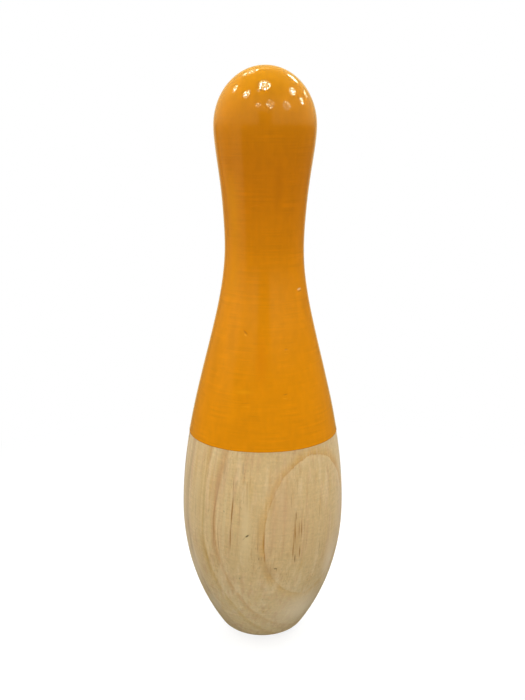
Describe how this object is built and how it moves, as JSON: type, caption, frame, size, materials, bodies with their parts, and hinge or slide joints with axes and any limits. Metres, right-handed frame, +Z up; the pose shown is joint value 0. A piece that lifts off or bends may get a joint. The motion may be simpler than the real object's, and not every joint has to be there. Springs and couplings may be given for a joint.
{
  "type": "bowling pin",
  "caption": "Turned wooden bowling pin with a round head, slim neck and full belly, lacquered from the head down to just above the belly and bare wood below.",
  "frame": {"origin": "centre of the flat base, on the floor", "axes": "+Z up along the turning axis, from the base to the head; -Y is the side that faces the viewer"},
  "size_m": [0.0838, 0.0838, 0.29],
  "materials": {
    "bare_wood": "fine-sanded pale wood with wide growth rings, satin",
    "gloss_lacquer": "high gloss yellow-orange lacquer with faint turning lines"
  },
  "bodies": {
    "root": {"turned_body": "bare_wood", "lacquer_coat": "gloss_lacquer"}
  },
  "joints": []
}
